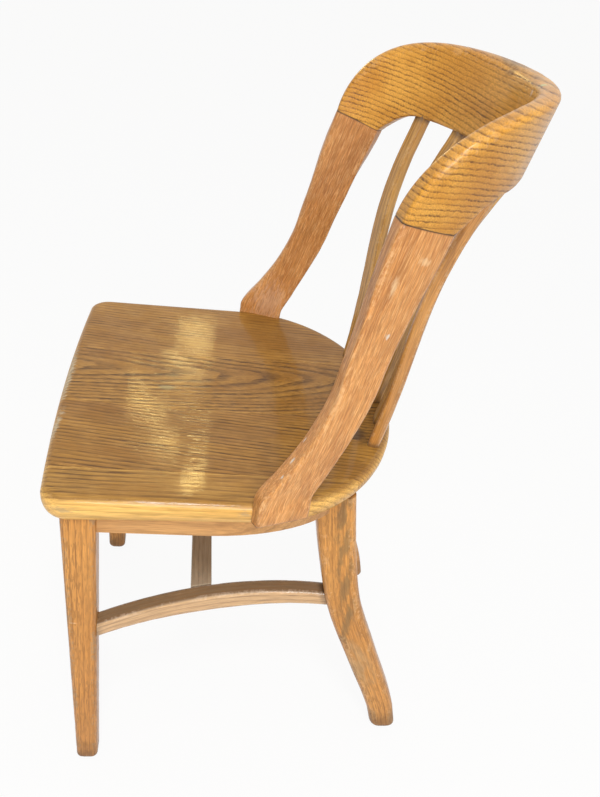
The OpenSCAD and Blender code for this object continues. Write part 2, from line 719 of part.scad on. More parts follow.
// Screws
module screw(from, towards, length, slack) {
    way = (towards - from) / norm(towards - from);
    rod(from, towards, length, screw_diameter + 2 * slack);
    head_depth = (screw_head - screw_diameter) / 2;
    translate(from) rotate([0, acos(way[2]), atan2(way[1], way[0])])
        cylinder(d1 = screw_head + 2 * slack, d2 = screw_diameter + 2 * slack, h = head_depth);
}
module seat_screw_at(x, y, slack) {
    screw([x, y, rail_base], [x, y, seat_height], rail_height + screw_bite + slack, slack);
}
// The seat is held from below through the rails
module seat_screw_set(slack) {
    for (side = [0, 1]) mirror([side, 0, 0]) {
        seat_screw_at(rail_half - rail_width / 2, front_leg_back + 70, slack);
        seat_screw_at(rail_half - rail_width / 2, rail_straight + 30, slack);
        seat_screw_at(front_rail_end * 0.4, front_rail_y + front_rail_width / 2, slack);
        seat_screw_at(rear_rail_end * 0.5, rail_middle(rear_rail_end * 0.5), slack);
    }
}
module seat_screws() {
    color(steel) seat_screw_set(0);
}
// Each corner block has a screw into the front rail and one into the side rail
module block_screw_pair(slack) {
    z = rail_base + rail_height / 2;
    into_front = [block_x - block_size * 0.72, block_y + block_size * 0.28, z];
    into_side = [block_x - block_size * 0.28, block_y + block_size * 0.72, z];
    screw(into_front, into_front - [0, 1, 0], block_screw_length, slack);
    screw(into_side, into_side + [1, 0, 0], block_screw_length, slack);
}
// Each rear leg has a screw into the side rail
module rail_screw(slack) {
    z = rail_base + rail_height / 2;
    start = [rear_leg_x - rear_leg_thickness / 2 + 1, rear_leg_set - rear_leg_head * 0.3, z];
    screw(start, start + [1, 0, 0], block_screw_length, slack);
}
module block_screws() {
    color(steel) for (side = [0, 1]) mirror([side, 0, 0]) {
        block_screw_pair(0);
        rail_screw(0);
    }
}

// The origin lies under the middle of the chair
rear_most = max([for (ring = crest_rings, p = ring) p[1]]);
module placed() {
    translate([0, -rear_most / 2, 0]) children();
}

placed() seat_board(glue_line_left, seat_half + 1);  // seat_board_left
placed() seat_board(glue_line_middle, glue_line_left);  // seat_board_centre_left
placed() seat_board(glue_line_right, glue_line_middle);  // seat_board_centre_right
placed() seat_board(-seat_half - 1, glue_line_right);  // seat_board_right
placed() front_leg();  // front_leg_left
placed() right_hand() front_leg();  // front_leg_right
placed() rear_leg();  // rear_leg_left
placed() right_hand() rear_leg();  // rear_leg_right
placed() front_rail();
placed() side_rail();  // side_rail_left
placed() right_hand() side_rail();  // side_rail_right
placed() rear_rail();
placed() corner_block();  // corner_block_left
placed() right_hand() corner_block();  // corner_block_right
placed() side_stretcher();  // side_stretcher_left
placed() right_hand() side_stretcher();  // side_stretcher_right
placed() cross_stretcher();
placed() back_post();  // back_post_left
placed() right_hand() back_post();  // back_post_right
placed() crest_rail();
placed() spindle(2);  // spindle_left
placed() spindle(1);  // spindle_inner_left
placed() spindle(0);  // spindle_centre
placed() spindle(-1);  // spindle_inner_right
placed() spindle(-2);  // spindle_right
placed() crest_dowels();
placed() post_dowels();
placed() seat_screws();
placed() block_screws();
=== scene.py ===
# %% [markdown]
# # An old oak chair, dressed in Blender
#
# The chair's solids come from a CAD program and are already true to size. What they lack is
# what the eye meets first: soft arrises, straight fibres that surface on a curved cut, varnish
# that has gone amber, and the wear of many years. This lesson makes each visible wooden piece
# again with fine, smooth surfaces in the place of its solid, and then wires one oak finish
# that every piece turns to its own grain.

# %% Load the fixed frame
from math import atan, atan2, cos, pi, radians, sin, sqrt, tan

import bmesh
import bpy
from mathutils import Matrix, Vector, noise


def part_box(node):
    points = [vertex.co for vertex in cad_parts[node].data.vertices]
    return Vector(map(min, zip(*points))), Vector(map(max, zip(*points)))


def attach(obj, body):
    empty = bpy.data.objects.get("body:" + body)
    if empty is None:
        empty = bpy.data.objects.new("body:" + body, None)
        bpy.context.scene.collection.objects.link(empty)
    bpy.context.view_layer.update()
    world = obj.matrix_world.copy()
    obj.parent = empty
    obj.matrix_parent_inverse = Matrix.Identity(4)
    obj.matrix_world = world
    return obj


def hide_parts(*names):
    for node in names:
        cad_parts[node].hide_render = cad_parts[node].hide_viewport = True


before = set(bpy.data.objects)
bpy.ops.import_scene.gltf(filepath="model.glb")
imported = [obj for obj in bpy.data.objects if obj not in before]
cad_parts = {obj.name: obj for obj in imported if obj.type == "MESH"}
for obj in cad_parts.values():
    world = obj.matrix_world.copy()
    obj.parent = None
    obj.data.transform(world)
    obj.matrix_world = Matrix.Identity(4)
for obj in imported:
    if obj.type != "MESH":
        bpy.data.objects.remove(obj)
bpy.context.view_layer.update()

# %% [markdown]
# ## Measures
#
# Sizes are written in millimetres, as on a drawing, and y is counted back from the front edge
# of the seat. One helper turns such a point into Blender's metres in the shared frame. The
# origin lies under the middle of the chair, so the seat's front edge is as far in front of it
# as the crest rail reaches behind it.

# %% Places, blends and smooth curves
front_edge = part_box("crest_rail")[1].y


def place(x, y, z):
    """A drawing's point, in metres, in the shared frame."""
    return Vector((x / 1000, y / 1000 - front_edge, z / 1000))


def mix(a, b, t):
    return a + (b - a) * t


def within(t):
    return min(1.0, max(0.0, t))


def ease(t):
    t = within(t)
    return t * t * (3 - 2 * t)


def slope_at(points, k):
    a, b = max(0, k - 1), min(len(points) - 1, k + 1)
    return (points[b][1] - points[a][1]) / (points[b][0] - points[a][0])


def through(points, x):
    """Height at x of a smooth curve through points."""
    k = max(i for i in range(len(points) - 1) if i == 0 or points[i][0] <= x)
    h = points[k + 1][0] - points[k][0]
    t = (x - points[k][0]) / h
    return (
        points[k][1] * (2 * t**3 - 3 * t**2 + 1)
        + slope_at(points, k) * h * (t**3 - 2 * t**2 + t)
        + points[k + 1][1] * (3 * t**2 - 2 * t**3)
        + slope_at(points, k + 1) * h * (t**3 - t**2)
    )


print("the seat's front edge is at y =", round(-front_edge, 4), "m")

# %% [markdown]
# ## A skin rolled from a grid
#
# Nearly every piece of this chair is a bar whose section changes along its length. A flat grid
# is the easiest start for such a form: its columns become the points round the section, its
# rows become the stations along the bar, and each vertex is moved to its place. The seam is
# then merged and the two open ends are filled.
#
# Two weights are kept on the vertices for the finish. "arris" says how near a point is to a
# rounded edge, where varnish wears through first. "grime" says where dirt gathers, such as in
# a joint. A third value, "grain", is the point's place in the straight bar that the piece was
# bent or sawn from, so that fibres can follow a curved leg. When a piece is finished, "upward"
# is added, which says how far its surface looks up, where dust settles and hands polish, and
# where the seat's top is given painted shade.

# %% The section of a bar and the rolled skin
touching = 2e-6  # points of one place, in metres


def rounded(width, depth, far, near, steps=5, flats=3, deep=0.0):
    """Points round a rounded rectangle: share of the width, depth, and nearness to an arris."""
    ring = []
    for right, up, radius in ((1, 1, far), (0, 1, max(near, deep)), (0, 0, near), (1, 0, far)):
        r = min(radius, width * 0.45, depth * 0.49)
        start = {(1, 1): 0, (0, 1): 90, (0, 0): 180, (1, 0): 270}[(right, up)]
        for i in range(steps + 1):
            turn = radians(start + 90 * i / steps)
            u = (width - r if right else r) + r * cos(turn)
            v = (depth - r if up else r) + r * sin(turn)
            ring.append((u / width, v, 1.0))
    full = []
    for k, point in enumerate(ring):
        full.append(point)
        if k % (steps + 1) == steps:
            after = ring[(k + 1) % len(ring)]
            for j in range(flats):
                t = (0.12, 0.5, 0.88)[j] if flats == 3 else (j + 1) / (flats + 1)
                full.append((mix(point[0], after[0], t), mix(point[1], after[1], t), 0.0))
    return full


def settle(bm, name, nodes, sharp=42):
    """Closes, smooths and hands over a finished bmesh as the piece that stands for nodes."""
    bmesh.ops.remove_doubles(bm, verts=bm.verts, dist=touching)
    rims = [e for e in bm.edges if e.is_boundary]
    bmesh.ops.holes_fill(bm, edges=rims, sides=0)
    bmesh.ops.recalc_face_normals(bm, faces=bm.faces)
    upward = bm.verts.layers.float.new("upward")
    for v in bm.verts:
        v.normal_update()
        v[upward] = max(0.0, v.normal.z)
    for face in bm.faces:
        face.smooth = True
    for edge in bm.edges:
        edge.smooth = len(edge.link_faces) == 2 and edge.calc_face_angle() < radians(sharp)
    open_edges = sum(1 for e in bm.edges if len(e.link_faces) != 2)
    mesh = bpy.data.meshes.new(name)
    bm.to_mesh(mesh)
    bm.free()
    piece = bpy.data.objects.new(name, mesh)
    bpy.context.scene.collection.objects.link(piece)
    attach(piece, "root")
    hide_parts(*nodes)
    print(name, "has", len(mesh.polygons), "faces and", open_edges, "open edges")
    return piece


def rolled(rings, lengthwise, grimes=None):
    """A bmesh rolled from a grid on rings of (x, y, z, arris) in millimetres."""
    around, along = len(rings[0]), len(rings) - 1
    middles = [Vector([sum(p[k] for p in ring) / around for k in range(3)]) for ring in rings]
    run = [0.0]
    for a, b in zip(middles, middles[1:]):
        run.append(run[-1] + (b - a).length)
    bm = bmesh.new()
    arris = bm.verts.layers.float.new("arris")
    grime = bm.verts.layers.float.new("grime")
    grain = bm.verts.layers.float_vector.new("grain")
    bmesh.ops.create_grid(bm, x_segments=around, y_segments=along, size=1.0)
    for v in bm.verts:
        column = round((v.co.x + 1) / 2 * around) % around
        row = round((v.co.y + 1) / 2 * along)
        x, y, z, wear = rings[row][column]
        straight = Vector((x, y, z)) - middles[row]
        straight[lengthwise] = run[row]
        v[arris] = wear
        v[grime] = grimes[row] if grimes else 0.0
        v[grain] = straight / 1000
        v.co = place(x, y, z)
    return bm


pieces = {}

# %% [markdown]
# ## The seat
#
# The real seat is four flat boards glued edge to edge and then shaped as one: a straight front
# with a slight bow, a half oval at the back, an edge that rolls over at the top and turns under
# below, and a shallow hollow for the sitter. It could be carved with modifiers from a block.
# Rings are surer here, because each of them is the seat's outline, only drawn in and set lower.
# The whole form is rolled for each board, and what lies outside the board's two glue lines is
# cut away with bisect_plane. So the boards meet as exactly as the real ones do.

# %% The seat's outline
seat_height, seat_thickness, seat_half = 447.0, 34.0, 225.0
seat_straight, seat_round, seat_bow, seat_corner = 226.0, 175.0, 8.0, 24.0
top_round, hollow_depth = 9.0, 5.0
under_front, under_side, under_back = 12.0, 24.0, 26.0
seat_base = seat_height - seat_thickness
seat_depth = seat_straight + seat_round
front_steps, corner_steps, side_steps, oval_steps = 14, 10, 5, 48


def seat_outline(inset, side_inset, back_inset):
    """The seat's outline, drawn in by its own amount at the front, the sides' end and the back."""
    r = seat_corner - inset * 0.5
    flat = seat_half - inset - r
    corner_y = inset + seat_bow * (flat / seat_half) ** 2 + r
    right = []
    for i in range(front_steps):
        x = flat * i / front_steps
        right.append((x, inset + seat_bow * (x / seat_half) ** 2))
    for i in range(corner_steps):
        a = radians(-90 + 90 / corner_steps * i)
        right.append((flat + r * cos(a), corner_y + r * sin(a)))
    for i in range(side_steps):
        along = i / side_steps
        right.append((seat_half - mix(inset, side_inset, along), mix(corner_y, seat_straight, along)))
    for i in range(oval_steps + 1):
        a = radians(90 * i / oval_steps)
        x = (seat_half - side_inset) * cos(a)
        right.append((x, seat_straight + (seat_round - back_inset) * sin(a)))
    return right + [(-x, y) for x, y in right[-2:0:-1]]


print("the seat's outline has", len(seat_outline(0, 0, 0)), "points")

# %% Rings over the edge and across the hollow
edge_steps, hollow_steps = 8, 23
hollow_middle = 0.52  # share of the seat's depth, from the front


def seat_rings():
    """Rings up the undercut edge, over the rounding and in towards the middle of the hollow."""
    rings = []
    widest = seat_height - top_round
    for i in range(edge_steps + 1):
        a = radians(90 * i / edge_steps)
        under = 1 - sin(a)
        line = seat_outline(under_front * under, under_side * under, under_back * under)
        rings.append([(x, y, mix(widest, seat_base, cos(a)), 0.15) for x, y in line])
    for i in range(1, edge_steps + 1):
        a = radians(90 * i / edge_steps)
        inset = top_round * (1 - cos(a))
        line = seat_outline(inset, inset, inset)
        wear = 1.0 - abs(i - 4.5) / 5
        rings.append([(x, y, widest + top_round * sin(a), wear) for x, y in line])
    line = seat_outline(top_round, top_round, top_round)
    middle = seat_depth * hollow_middle
    shares = [0.94 - 0.92 * k / hollow_steps for k in range(hollow_steps + 1)]
    for f in [0.985, 0.965] + shares:
        z = seat_height - hollow_depth * (1 - f * f) ** 1.5
        wear = 0.1 if f > 0.98 else 0.0
        rings.append([(x * f, mix(middle, y, f), z, wear) for x, y in line])
    return rings


print("the seat has", len(seat_rings()), "rings")

# %% The four boards
glue_left, glue_middle, glue_right = 172.0, 45.0, -82.0
glue_gap = 0.12
past_side = 240.0  # beyond the widest part of the seat
boards = {
    "seat_left": ("seat_board_left", glue_left, past_side),
    "seat_centre_left": ("seat_board_centre_left", glue_middle, glue_left),
    "seat_centre_right": ("seat_board_centre_right", glue_right, glue_middle),
    "seat_right": ("seat_board_right", -past_side, glue_right),
}
for name, (node, low, high) in boards.items():
    board = rolled(seat_rings(), 1)
    bmesh.ops.remove_doubles(board, verts=board.verts, dist=touching)
    bmesh.ops.holes_fill(board, edges=[e for e in board.edges if e.is_boundary], sides=0)
    for x, way in ((low + glue_gap, -1), (high - glue_gap, 1)):
        whole = board.verts[:] + board.edges[:] + board.faces[:]
        bmesh.ops.bisect_plane(
            board, geom=whole, plane_co=place(x, 0, 0), plane_no=(way, 0, 0), clear_outer=True
        )
        rim = [e for e in board.edges if e.is_boundary]
        bmesh.ops.holes_fill(board, edges=rim, sides=0)
    pieces[name] = settle(board, name, [node])

# %% [markdown]
# ## The legs
#
# The front legs are plain tapers: a square with rounded long edges that shrinks towards a
# domed foot. The rear legs are sawn to a sabre curve. Both are rings again, level with the
# floor. The dome is a quarter of an ellipse drawn in over the last 11 mm, which is what keeps
# a real leg from splintering when the chair is dragged.

# %% Leg sections
leg_top, foot_round, leg_steps = seat_base, 11.0, 48
front_leg_x, front_leg_back, front_leg_foot, front_leg_head = 196, 62, 26, 37
rear_leg_x, rear_leg_set, rear_leg_sweep = 147, 319, 132
rear_leg_foot, rear_leg_head, rear_leg_thick = 34, 48, 34
front_leg_arris, rear_leg_arris = 6, 10


def leg_ring(x, back, wide, deep, z, radius):
    """A level ring of a leg whose rear face stands at back."""
    inset = 0.0
    if z < foot_round:
        inset = 0.8 * foot_round * (1 - sqrt(1 - ((foot_round - z) / foot_round) ** 2))
    w, d = wide - 2 * inset, deep - 2 * inset
    return [
        (x - wide / 2 + inset + u * w, back - inset - v, z, wear)
        for u, v, wear in rounded(w, d, radius, radius)
    ]


leg_levels = [foot_round * f for f in (0, 0.04, 0.12, 0.22, 0.35, 0.5, 0.65, 0.82, 1)]
leg_levels += [mix(foot_round, leg_top, i / leg_steps) for i in range(1, leg_steps + 1)]
leg_grime = [0.6 * (1 - ease(z / 90)) + 0.25 * (1 - ease((leg_top - z) / 12)) for z in leg_levels]
print("a leg has", len(leg_levels), "rings")

# %% Front legs
def mirrored(rings):
    return [[(-x, y, z, wear) for x, y, z, wear in ring] for ring in rings]


def both_sides(name, node, rings, lengthwise, grimes):
    """Rolls the left piece and its mirror image on the right."""
    for word, side_rings in (("_left", rings), ("_right", mirrored(rings))):
        skin = rolled(side_rings, lengthwise, grimes)
        pieces[name + word] = settle(skin, name + word, [node + word])


front_rings = []
for z in leg_levels:
    square = mix(front_leg_foot, front_leg_head, z / leg_top)
    front_rings.append(leg_ring(front_leg_x, front_leg_back, square, square, z, front_leg_arris))
both_sides("leg_front", "front_leg", front_rings, 2, leg_grime)

# %% Rear legs
sabre = [(0, 0), (0.22, 0.13), (0.43, 0.295), (0.65, 0.58), (0.88, 0.89), (1, 1)]


def rear_leg_y(z):
    return rear_leg_set + rear_leg_sweep * through(sabre, 1 - z / leg_top)


def rear_leg_slope(z):
    return (rear_leg_y(z - 1) - rear_leg_y(z + 1)) / 2


def rear_leg_depth(z):
    level = within(z / leg_top) * (leg_top - 2) + 1
    return mix(rear_leg_foot, rear_leg_head, z / leg_top) * sqrt(1 + rear_leg_slope(level) ** 2)


rear_rings = []
for z in leg_levels:
    deep = rear_leg_depth(z)
    rear_face = rear_leg_y(z) + deep / 2
    rear_rings.append(leg_ring(rear_leg_x, rear_face, rear_leg_thick, deep, z, rear_leg_arris))
both_sides("leg_rear", "rear_leg", rear_rings, 2, leg_grime)

# %% [markdown]
# ## Rails under the seat
#
# The seat stands on a low frame. Its rails are plain sawn boards, three of them curved, and two
# small blocks fill its front corners. Their solids have the right shape already apart from their
# knife-sharp edges. So a copy of each solid is taken, its loose triangles are merged, the flat
# ones are joined again, and every hard edge is given a small rounding with bevel.

# %% Copies with softened arrises
rail_arris, block_arris, cross_arris = 1.6, 1.0, 2.2
one_point, one_plane, hard = 2e-5, radians(0.6), radians(35)  # merged, joined, rounded


def softened(node, name, radius):
    """A copy of a solid whose hard edges are rounded, to stand for that solid."""
    bm = bmesh.new()
    bm.from_mesh(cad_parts[node].data)
    bmesh.ops.remove_doubles(bm, verts=bm.verts, dist=one_point)
    bmesh.ops.dissolve_limit(bm, angle_limit=one_plane, verts=bm.verts, edges=bm.edges)
    arris = bm.verts.layers.float.new("arris")
    bm.verts.layers.float.new("grime")
    corners = [e for e in bm.edges if len(e.link_faces) == 2 and e.calc_face_angle() > hard]
    made = bmesh.ops.bevel(
        bm, geom=corners, offset=radius / 1000, offset_type="OFFSET", segments=3, profile=0.5,
        affect="EDGES", clamp_overlap=True, material=-1,
    )
    for v in made["verts"]:
        v[arris] = 1.0
    pieces[name] = settle(bm, name, [node], sharp=30)


softened("side_rail_left", "rail_side_left", rail_arris)
softened("side_rail_right", "rail_side_right", rail_arris)
softened("front_rail", "rail_front", rail_arris)
softened("rear_rail", "rail_rear", rail_arris)
softened("corner_block_left", "block_left", block_arris)
softened("corner_block_right", "block_right", block_arris)

# %% [markdown]
# ## Stretchers
#
# The two side stretchers bow inwards, towards the middle of the chair, and are a little deeper
# at mid length. The cross stretcher is a flat straight bar between them, and another softened
# copy. The rear end of a side stretcher is cut to the slope of the leg, so its last rings lean
# more and more, until the last one leans with the leg's front face.

# %% Side stretchers
stretcher_level, stretcher_width, stretcher_arris, stretcher_steps = 253.0, 22.0, 4, 48
stretcher_bow, stretcher_ends, stretcher_middle = 21, 21, 25
stretcher_rear_z = stretcher_level - stretcher_ends / 2
stretcher_front = (199.0, front_leg_back)
stretcher_rear = (143.0, rear_leg_y(stretcher_rear_z) - rear_leg_depth(stretcher_rear_z) / 2)


def stretcher_x(t):
    return mix(stretcher_front[0], stretcher_rear[0], t) - stretcher_bow * 4 * t * (1 - t)


def stretcher_ring(t):
    deep = mix(stretcher_ends, stretcher_middle, ease(1 - abs(2 * t - 1)))
    y = mix(stretcher_front[1], stretcher_rear[1], t)
    lean = rear_leg_slope(stretcher_rear_z) * ease((t - 0.9) / 0.1)
    return [
        (stretcher_x(t) - stretcher_width / 2 + u * stretcher_width, y + (v - deep / 2) * lean,
         stretcher_level - v, wear)
        for u, v, wear in rounded(stretcher_width, deep, stretcher_arris, stretcher_arris)
    ]


stations = [i / stretcher_steps for i in range(stretcher_steps + 1)]
stretcher_rings = [stretcher_ring(t) for t in stations]
stretcher_grime = [0.6 * (1 - ease(min(t, 1 - t) / 0.06)) for t in stations]
both_sides("stretcher", "side_stretcher", stretcher_rings, 1, stretcher_grime)

# %% Cross stretcher
softened("cross_stretcher", "stretcher_cross", cross_arris)

# %% [markdown]
# ## The crest rail
#
# This is the piece that makes the chair. It is sawn from a thick block: a band on an oval that
# leans back and flares, climbing at each end out of a square joint on the post. A band like
# this is described best by a function: s runs along it, v up its height and w through its
# thickness. The end is trimmed to the plane of the joint, and the trim fades out along the
# rail so that no kink is left.

# %% The band on a leaning oval
joint_rise = 305
joint_z = seat_height + joint_rise
joint_front, joint_rear, joint_drop = radians(9), radians(28.5), 13.0
crest_half, crest_flare, crest_depth, crest_set = 193.0, 14.0, 164.0, 290.0
crest_thick, crest_rise, crest_lift, crest_steps = 22.0, 101.0, 27.0, 70
crest_low = joint_z - joint_drop + crest_lift
crest_top = joint_z + crest_rise
crest_lean = tan(radians(10.4))


def crest_inner(turn, z):
    """The inner face's point at a turn round the oval and a height."""
    half = mix(crest_half, crest_half + crest_flare, (z - crest_low) / (crest_top - crest_low))
    y = crest_set + crest_lean * (z - crest_low) + crest_depth * sin(turn)
    return Vector((half * cos(turn), y, z))


def crest_normal(turn):
    return Vector((crest_depth * cos(turn), crest_half * sin(turn), 0)).normalized()


joint_a = crest_inner(joint_front, joint_z)
joint_b = crest_inner(joint_rear, joint_z - joint_drop)
joint_slope = joint_drop / (joint_b.y - joint_a.y)


def crest_raw(s, v, w):
    """The band's point before its end is trimmed. s goes from 0 at the joint to 1 at the middle."""
    high = mix(joint_front, pi / 2, s**1.9)
    low = mix(joint_rear, pi / 2, s**1.3)
    climb = (high - joint_front) / (pi / 2 - joint_front)
    top = joint_z + crest_rise * sqrt(max(0.0, 1 - (1 - climb) ** 5))
    rise = within((low - joint_rear) / radians(16))
    bottom = joint_z - joint_drop + crest_lift * (1 - (1 - rise) ** 2)
    turn = mix(low, high, v)
    return crest_inner(turn, mix(bottom, top, v)) + w * crest_normal(turn)


def crest_point(s, v, w):
    """The same point, with the end trimmed to the joint's plane."""
    end = crest_raw(0, v, w)
    point = crest_raw(s, v, w)
    point.z += (joint_z - joint_slope * (end.y - joint_a.y) - end.z) * ease(1 - s / 0.3)
    return point


print("the crest rail is", round(crest_top - crest_low), "mm high at its middle")

# %% The crest rail itself
def drawn_in(ring, amount):
    """The same ring, drawn towards its middle by an amount."""
    middle = Vector([sum(p[k] for p in ring) / len(ring) for k in range(3)])
    closer = []
    for x, y, z, wear in ring:
        inward = middle - Vector((x, y, z))
        p = Vector((x, y, z)) + inward.normalized() * min(amount, inward.length)
        closer.append((p.x, p.y, p.z, wear))
    return closer


def crest_ring(s):
    span = (crest_point(s, 1, 0) - crest_point(s, 0, 0)).length
    upper = mix(4.0, 8.0, ease(s / 0.4))
    lower = mix(4.0, 10.0, ease((s - 0.15) / 0.5))
    ring = []
    for v, w, wear in rounded(span, crest_thick, upper, 4.0, steps=6, flats=7, deep=lower):
        ring.append((*crest_point(s, v, w), wear))
    return ring


crest_shares = [0.0, 0.004] + [0.012 + 0.988 * (i / crest_steps) for i in range(crest_steps + 1)]
half_crest = [crest_ring(s) for s in crest_shares]
half_crest[0] = drawn_in(half_crest[0], 0.5)
crest_rings = half_crest + mirrored(half_crest[-2::-1])
crest_grime = [1.0, 0.6] + [0.0] * (len(crest_rings) - 4) + [0.6, 1.0]
pieces["crest"] = settle(rolled(crest_rings, 0, crest_grime), "crest", ["crest_rail"])

# %% [markdown]
# ## The back posts
#
# A post is let into the seat's side at its foot, sweeps back, narrows to a waist and widens
# again until its section is exactly the crest rail's. Its edges also change: near the waist
# the front edge lies more nearly straight across, while at foot and joint it is square to the
# face. Blending the last stretch into the crest rail's own section makes the two faces meet
# flush, as they do when a chair maker planes them together.

# %% A post's form
post_thick, post_width_foot, post_width_waist, post_turn = 22.0, 59.0, 43.5, radians(18)
post_set, post_arris, waist_at, post_steps = 218, 4, 0.42, 72
post_shape = [
    (0, 0), (0.056, 0.02), (0.157, 0.235), (0.275, 0.455), (0.426, 0.645), (0.567, 0.735),
    (0.68, 0.805), (0.82, 0.88), (1, 1),
]
post_taper = [(0, 1), (0.07, 0.98), (0.177, 0.45), (0.275, 0.13), (waist_at, 0)]
post_square = [(0, 0.9), (0.1, 0.9), (0.25, 0.75), (0.43, 0.5), (0.62, 0.4), (0.82, 0.6), (1, 1)]
post_x = seat_half - 2
post_in = post_x - joint_a.x
joint_width = joint_b.y - joint_a.y
joint_turn = atan2(joint_a.x - joint_b.x, joint_width)


def post_width(h):
    if h < waist_at:
        return mix(post_width_waist, post_width_foot, through(post_taper, within(h)))
    return mix(post_width_waist, joint_width + 2, ease((h - waist_at) / 0.6))


def post_front(h):
    return post_set + (joint_a.y - post_set) * through(post_shape, within(h))


def post_plain(h, v, w):
    """A post's point at a share of its height, before it is blended into the crest rail."""
    turn = mix(post_turn, joint_turn, h)
    back = (1 - v) * post_width(h)
    edge = mix(0.2, through(post_square, h), v)
    y = post_front(h) + back + edge * w * sin(turn)
    x = post_x - post_in * h - back * tan(turn) + w * cos(turn)
    return Vector((x, y, seat_height + h * joint_rise - h * joint_slope * (y - post_front(h))))


def post_point(h, v, w):
    share = ease((h - 0.6) / 0.4)
    return post_plain(h, v, w) + share * (crest_point(0, v, w) - post_plain(1, v, w))


print("the joint is", round(joint_width), "mm wide")

# %% Both posts
def foot_ring(drop, toe, narrow):
    """A ring of the foot below the seat's top, its lower face rising towards the outside."""
    ring = []
    section = rounded(post_width_foot, post_thick, post_arris, post_arris, steps=6, flats=5)
    for v, w, wear in section:
        p = post_point(0, v, w * narrow)
        ring.append((p.x, p.y, p.z - drop + toe * w * narrow / post_thick, max(wear, 0.4)))
    return ring


def post_ring(h):
    span = (post_point(h, 1, 0) - post_point(h, 0, 0)).length
    section = rounded(span, post_thick, post_arris, post_arris, steps=6, flats=5)
    return [(*post_point(h, v, w), wear) for v, w, wear in section]


post_rings = [foot_ring(20, 7, 0.9), foot_ring(19, 7, 0.96), foot_ring(17, 7, 1), foot_ring(8, 3.5, 1)]
post_rings += [post_ring(i / post_steps) for i in range(post_steps)]
post_rings += [post_ring(0.998), drawn_in(post_ring(1), 0.5)]
post_grime = [0.9, 0.5, 0.1, 0.0] + [0.0] * post_steps + [0.5, 1.0]
both_sides("post", "back_post", post_rings, 2, post_grime)

# %% [markdown]
# ## Spindles
#
# Five flat bars rise from the seat behind the sitter, lean away, and enter the underside of
# the crest rail. Their section turns a little on the way, because each end faces the curve
# that it stands on. The tenons at the ends are hidden in the holes, so they aren't made here.

# %% The five spindles
spindle_shape = [
    (0, 0), (0.13, 0.11), (0.28, 0.2), (0.43, 0.26), (0.55, 0.31), (0.66, 0.39), (0.75, 0.5),
    (0.85, 0.67), (1, 1),
]
spindle_thick, spindle_foot_wide, spindle_head_wide = 14.0, 22, 19
spindle_inset, spindle_head_at, spindle_arris, spindle_steps = 15, 0.42, 4, 52
spindles = {
    "left": (99.0, radians(45)),
    "inner_left": (52.0, radians(64)),
    "centre": (0.0, radians(90)),
    "inner_right": (-52.0, radians(64)),
    "right": (-99.0, radians(45)),
}


def spindle_rings(x, turn):
    """Rings of the spindle that stands at x and meets the crest rail at a turn."""
    side = (x > 0) - (x < 0)
    root = sqrt(1 - (x / seat_half) ** 2)
    foot_turn = -atan(seat_round * x / (seat_half**2 * root))
    foot = Vector((x, seat_straight + seat_round * root - spindle_inset / cos(foot_turn), seat_height))
    normal = crest_normal(turn)
    head = crest_inner(turn, crest_low) + spindle_head_at * crest_thick * normal
    head.x = side * abs(head.x)
    head_turn = -side * 0.5 * (pi / 2 - atan2(normal.y, normal.x))
    rings = []
    for i in range(spindle_steps + 1):
        h = i / spindle_steps * 1.02 - 0.01
        k = within(h)
        y = foot.y + (head.y - foot.y) * through(spindle_shape, k)
        c = Vector((mix(foot.x, head.x, k), y, mix(foot.z, head.z, h)))
        width = mix(spindle_foot_wide, spindle_head_wide, ease((k - 0.5) * 2))
        a = mix(foot_turn, head_turn, k)
        ring = []
        for u, v, wear in rounded(width, spindle_thick, spindle_arris, spindle_arris):
            p, q = (u - 0.5) * width, v - spindle_thick / 2
            ring.append((c.x + p * cos(a) - q * sin(a), c.y + p * sin(a) + q * cos(a), c.z, wear))
        rings.append(ring)
    return rings


spindle_ends = [min(i, spindle_steps - i) for i in range(spindle_steps + 1)]
spindle_grime = [0.8 * (1 - ease(i / 3)) for i in spindle_ends]
for word, (x, turn) in spindles.items():
    bar = rolled(spindle_rings(x, turn), 2, spindle_grime)
    pieces["spindle_bar_" + word] = settle(bar, "spindle_bar_" + word, ["spindle_" + word])

# %% [markdown]
# ## Years of use
#
# Old arrises aren't true any more. Before the finish, every vertex near an arris is pushed in
# by a small uneven amount, about a third of a millimetre at most, with a smooth noise that
# depends only on its place. Highlights along the edges then break up as they do on the real chair.

# %% Uneven arrises
deepest_bite, bites_per_metre = 0.00035, 90
for name, piece in pieces.items():
    mesh = piece.data
    weights = mesh.attributes["arris"].data
    normals = [v.normal.copy() for v in mesh.vertices]
    for v, normal in zip(mesh.vertices, normals):
        bite = max(0.0, noise.fractal(v.co * bites_per_metre, 0.7, 2.2, 3) + 0.05)
        v.co -= normal * weights[v.index].value * min(bite, 1.0) * deepest_bite
    mesh.update()
print("wore the arrises of", len(pieces), "pieces")

# %% [markdown]
# ## Wiring a finish
#
# A material is a drawing made of nodes, and a short set of words keeps the drawing readable.
# Each word below adds a node, or a few, and returns what comes out, so that a finish can be
# written like a sum. The sky over the floor is wired with the same words.

# %% Short words for nodes
def paint(red, green, blue):
    """A screen colour from 0 to 255, as the linear colour that a shader wants."""
    linear = []
    for value in (red, green, blue):
        c = value / 255
        linear.append(c / 12.92 if c <= 0.04045 else ((c + 0.055) / 1.055) ** 2.4)
    return (*linear, 1.0)


